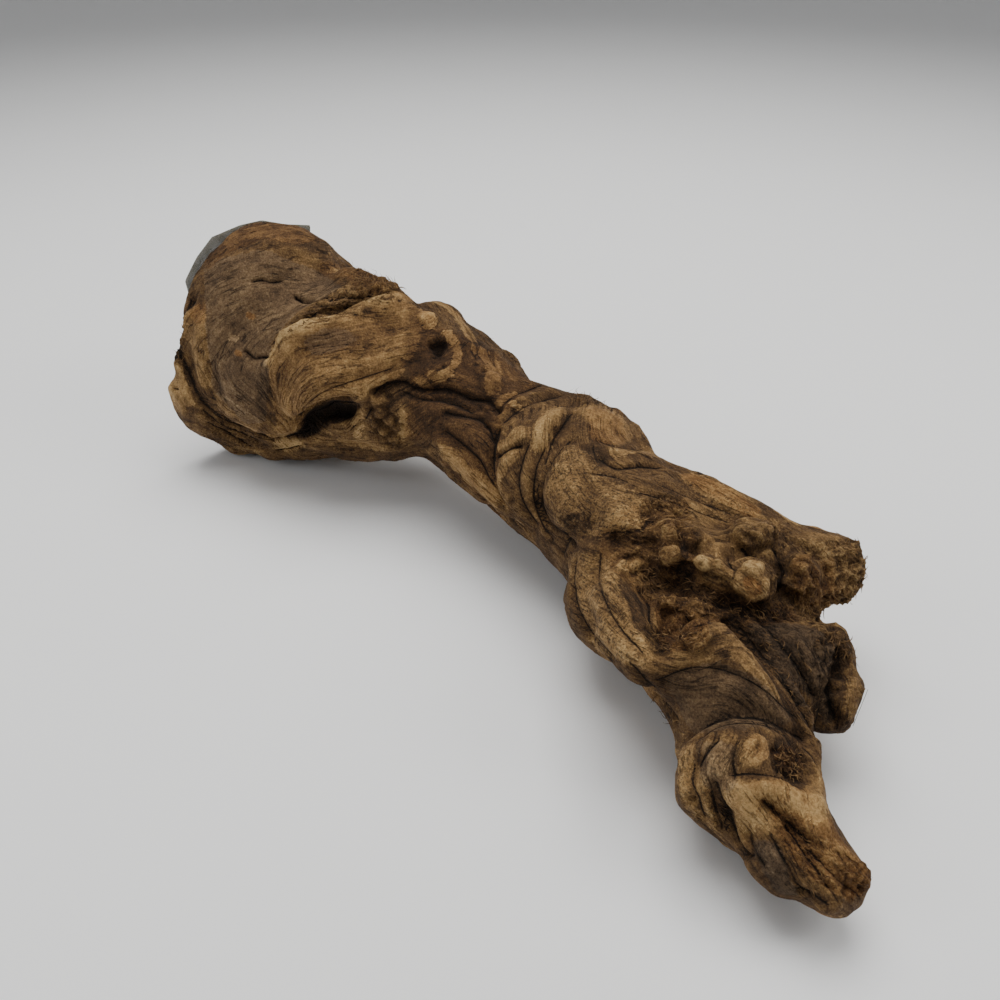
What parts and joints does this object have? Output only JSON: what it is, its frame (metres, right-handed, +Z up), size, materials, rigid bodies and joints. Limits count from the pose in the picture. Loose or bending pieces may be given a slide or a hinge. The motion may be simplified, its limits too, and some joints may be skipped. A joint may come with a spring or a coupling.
{
  "type": "grapewood branch",
  "caption": "Gnarled piece of old grapevine trunk, sandblasted and dried, with a flared sawn butt, cut stubs and a worn tip, laid down as a perch or decor branch.",
  "frame": {"origin": "middle of the footprint's box, on the surface that the wood lies on", "axes": "+X along the wood from its sawn butt to its tip, +Z up"},
  "size_m": [0.4683, 0.1673, 0.1369],
  "materials": {
    "wood": "rough, sandblasted and dry",
    "film": "thin, clear and slightly wrinkled"
  },
  "bodies": {
    "root": {"vine_wood": "wood", "end_film": "film", "stub_film": "film"}
  },
  "joints": []
}
